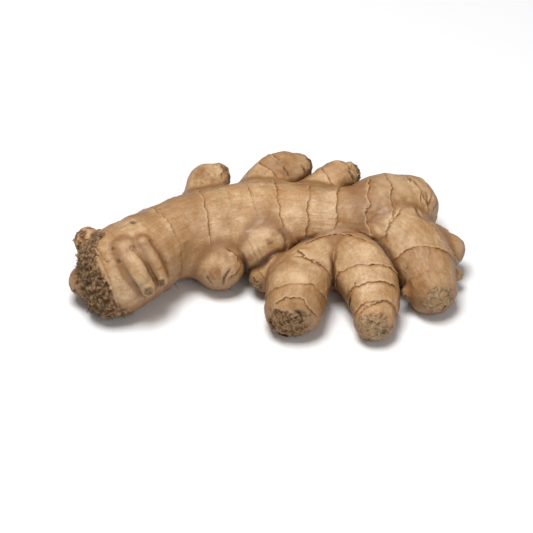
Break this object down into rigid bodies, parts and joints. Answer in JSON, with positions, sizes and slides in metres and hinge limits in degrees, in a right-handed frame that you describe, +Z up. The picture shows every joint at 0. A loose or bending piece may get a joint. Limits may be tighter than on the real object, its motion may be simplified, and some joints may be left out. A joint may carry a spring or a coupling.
{
  "type": "ginger root",
  "caption": "Whole fresh ginger root with a thick ringed stem, branching fingers, small knobs and buds and a corky break at one end, lying on its flat side.",
  "frame": {"origin": "centre of the bounding box in plan, on the surface that the root lies on", "axes": "+X along the root from its broken end to its round head, +Y towards the three back fingers, away from the front fingers, +Z up"},
  "size_m": [0.1964, 0.1115, 0.0428],
  "materials": {
    "ginger_skin": "thin tan skin, satin, with brown leaf scars and corky dry tips"
  },
  "bodies": {
    "root": {"ginger_root": "ginger_skin"}
  },
  "joints": []
}
